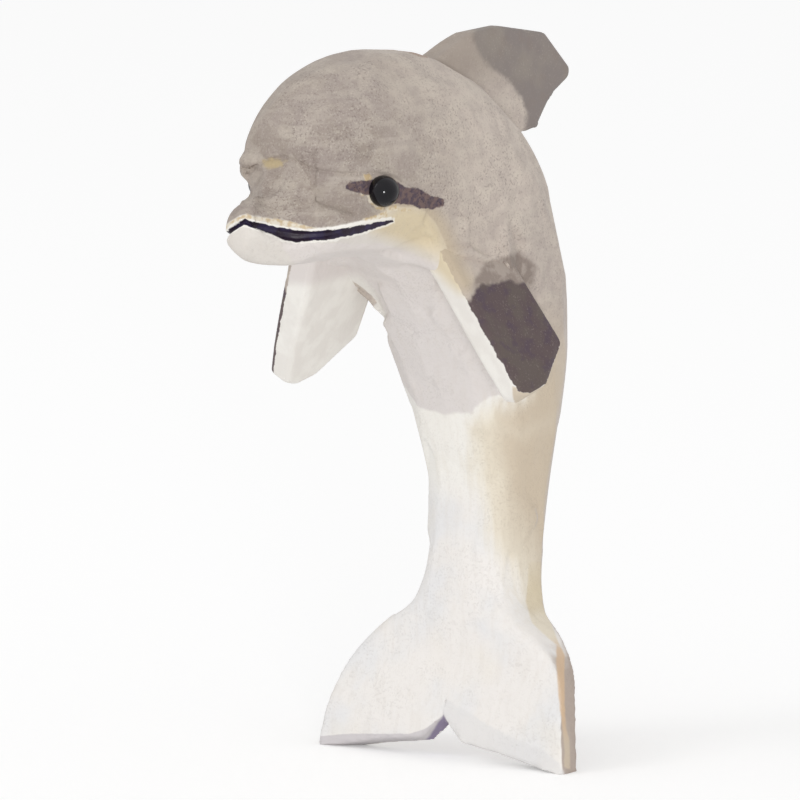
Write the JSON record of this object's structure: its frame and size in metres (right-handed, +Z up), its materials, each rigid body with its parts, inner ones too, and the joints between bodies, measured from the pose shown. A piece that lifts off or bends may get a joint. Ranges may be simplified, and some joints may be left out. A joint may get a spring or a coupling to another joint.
{
  "type": "dolphin carving",
  "caption": "Painted wooden dolphin carving that stands upright on its tail flukes, with inlet fins and glass bead eyes.",
  "frame": {"origin": "on the ground, under the middle of the carving's bounding box", "axes": "+Z up along the standing dolphin, +X to the dolphin's left side, -Y the way its beak and belly face"},
  "size_m": [0.0516, 0.0812, 0.1158],
  "materials": {
    "body_paint": "thin matt grey and white paint over carved wood",
    "dorsal_fin_paint": "matt dark grey paint over carved wood",
    "pectoral_fin_paint": "matt dark brown paint outside and white paint inside over carved wood",
    "bead_glass": "glossy opaque black glass",
    "bamboo": "bare split bamboo, glued",
    "steel_wire": "plain drawn wire"
  },
  "bodies": {
    "root": {"body": "body_paint", "dorsal_fin": "dorsal_fin_paint", "pectoral_fin_left": "pectoral_fin_paint", "pectoral_fin_right": "pectoral_fin_paint", "eye_left": "bead_glass", "eye_right": "bead_glass", "dorsal_pin_front": "bamboo", "dorsal_pin_rear": "bamboo", "pectoral_pin_left_front": "bamboo", "pectoral_pin_left_rear": "bamboo", "pectoral_pin_right_front": "bamboo", "pectoral_pin_right_rear": "bamboo", "eye_pin_left": "steel_wire", "eye_pin_right": "steel_wire"}
  },
  "joints": []
}
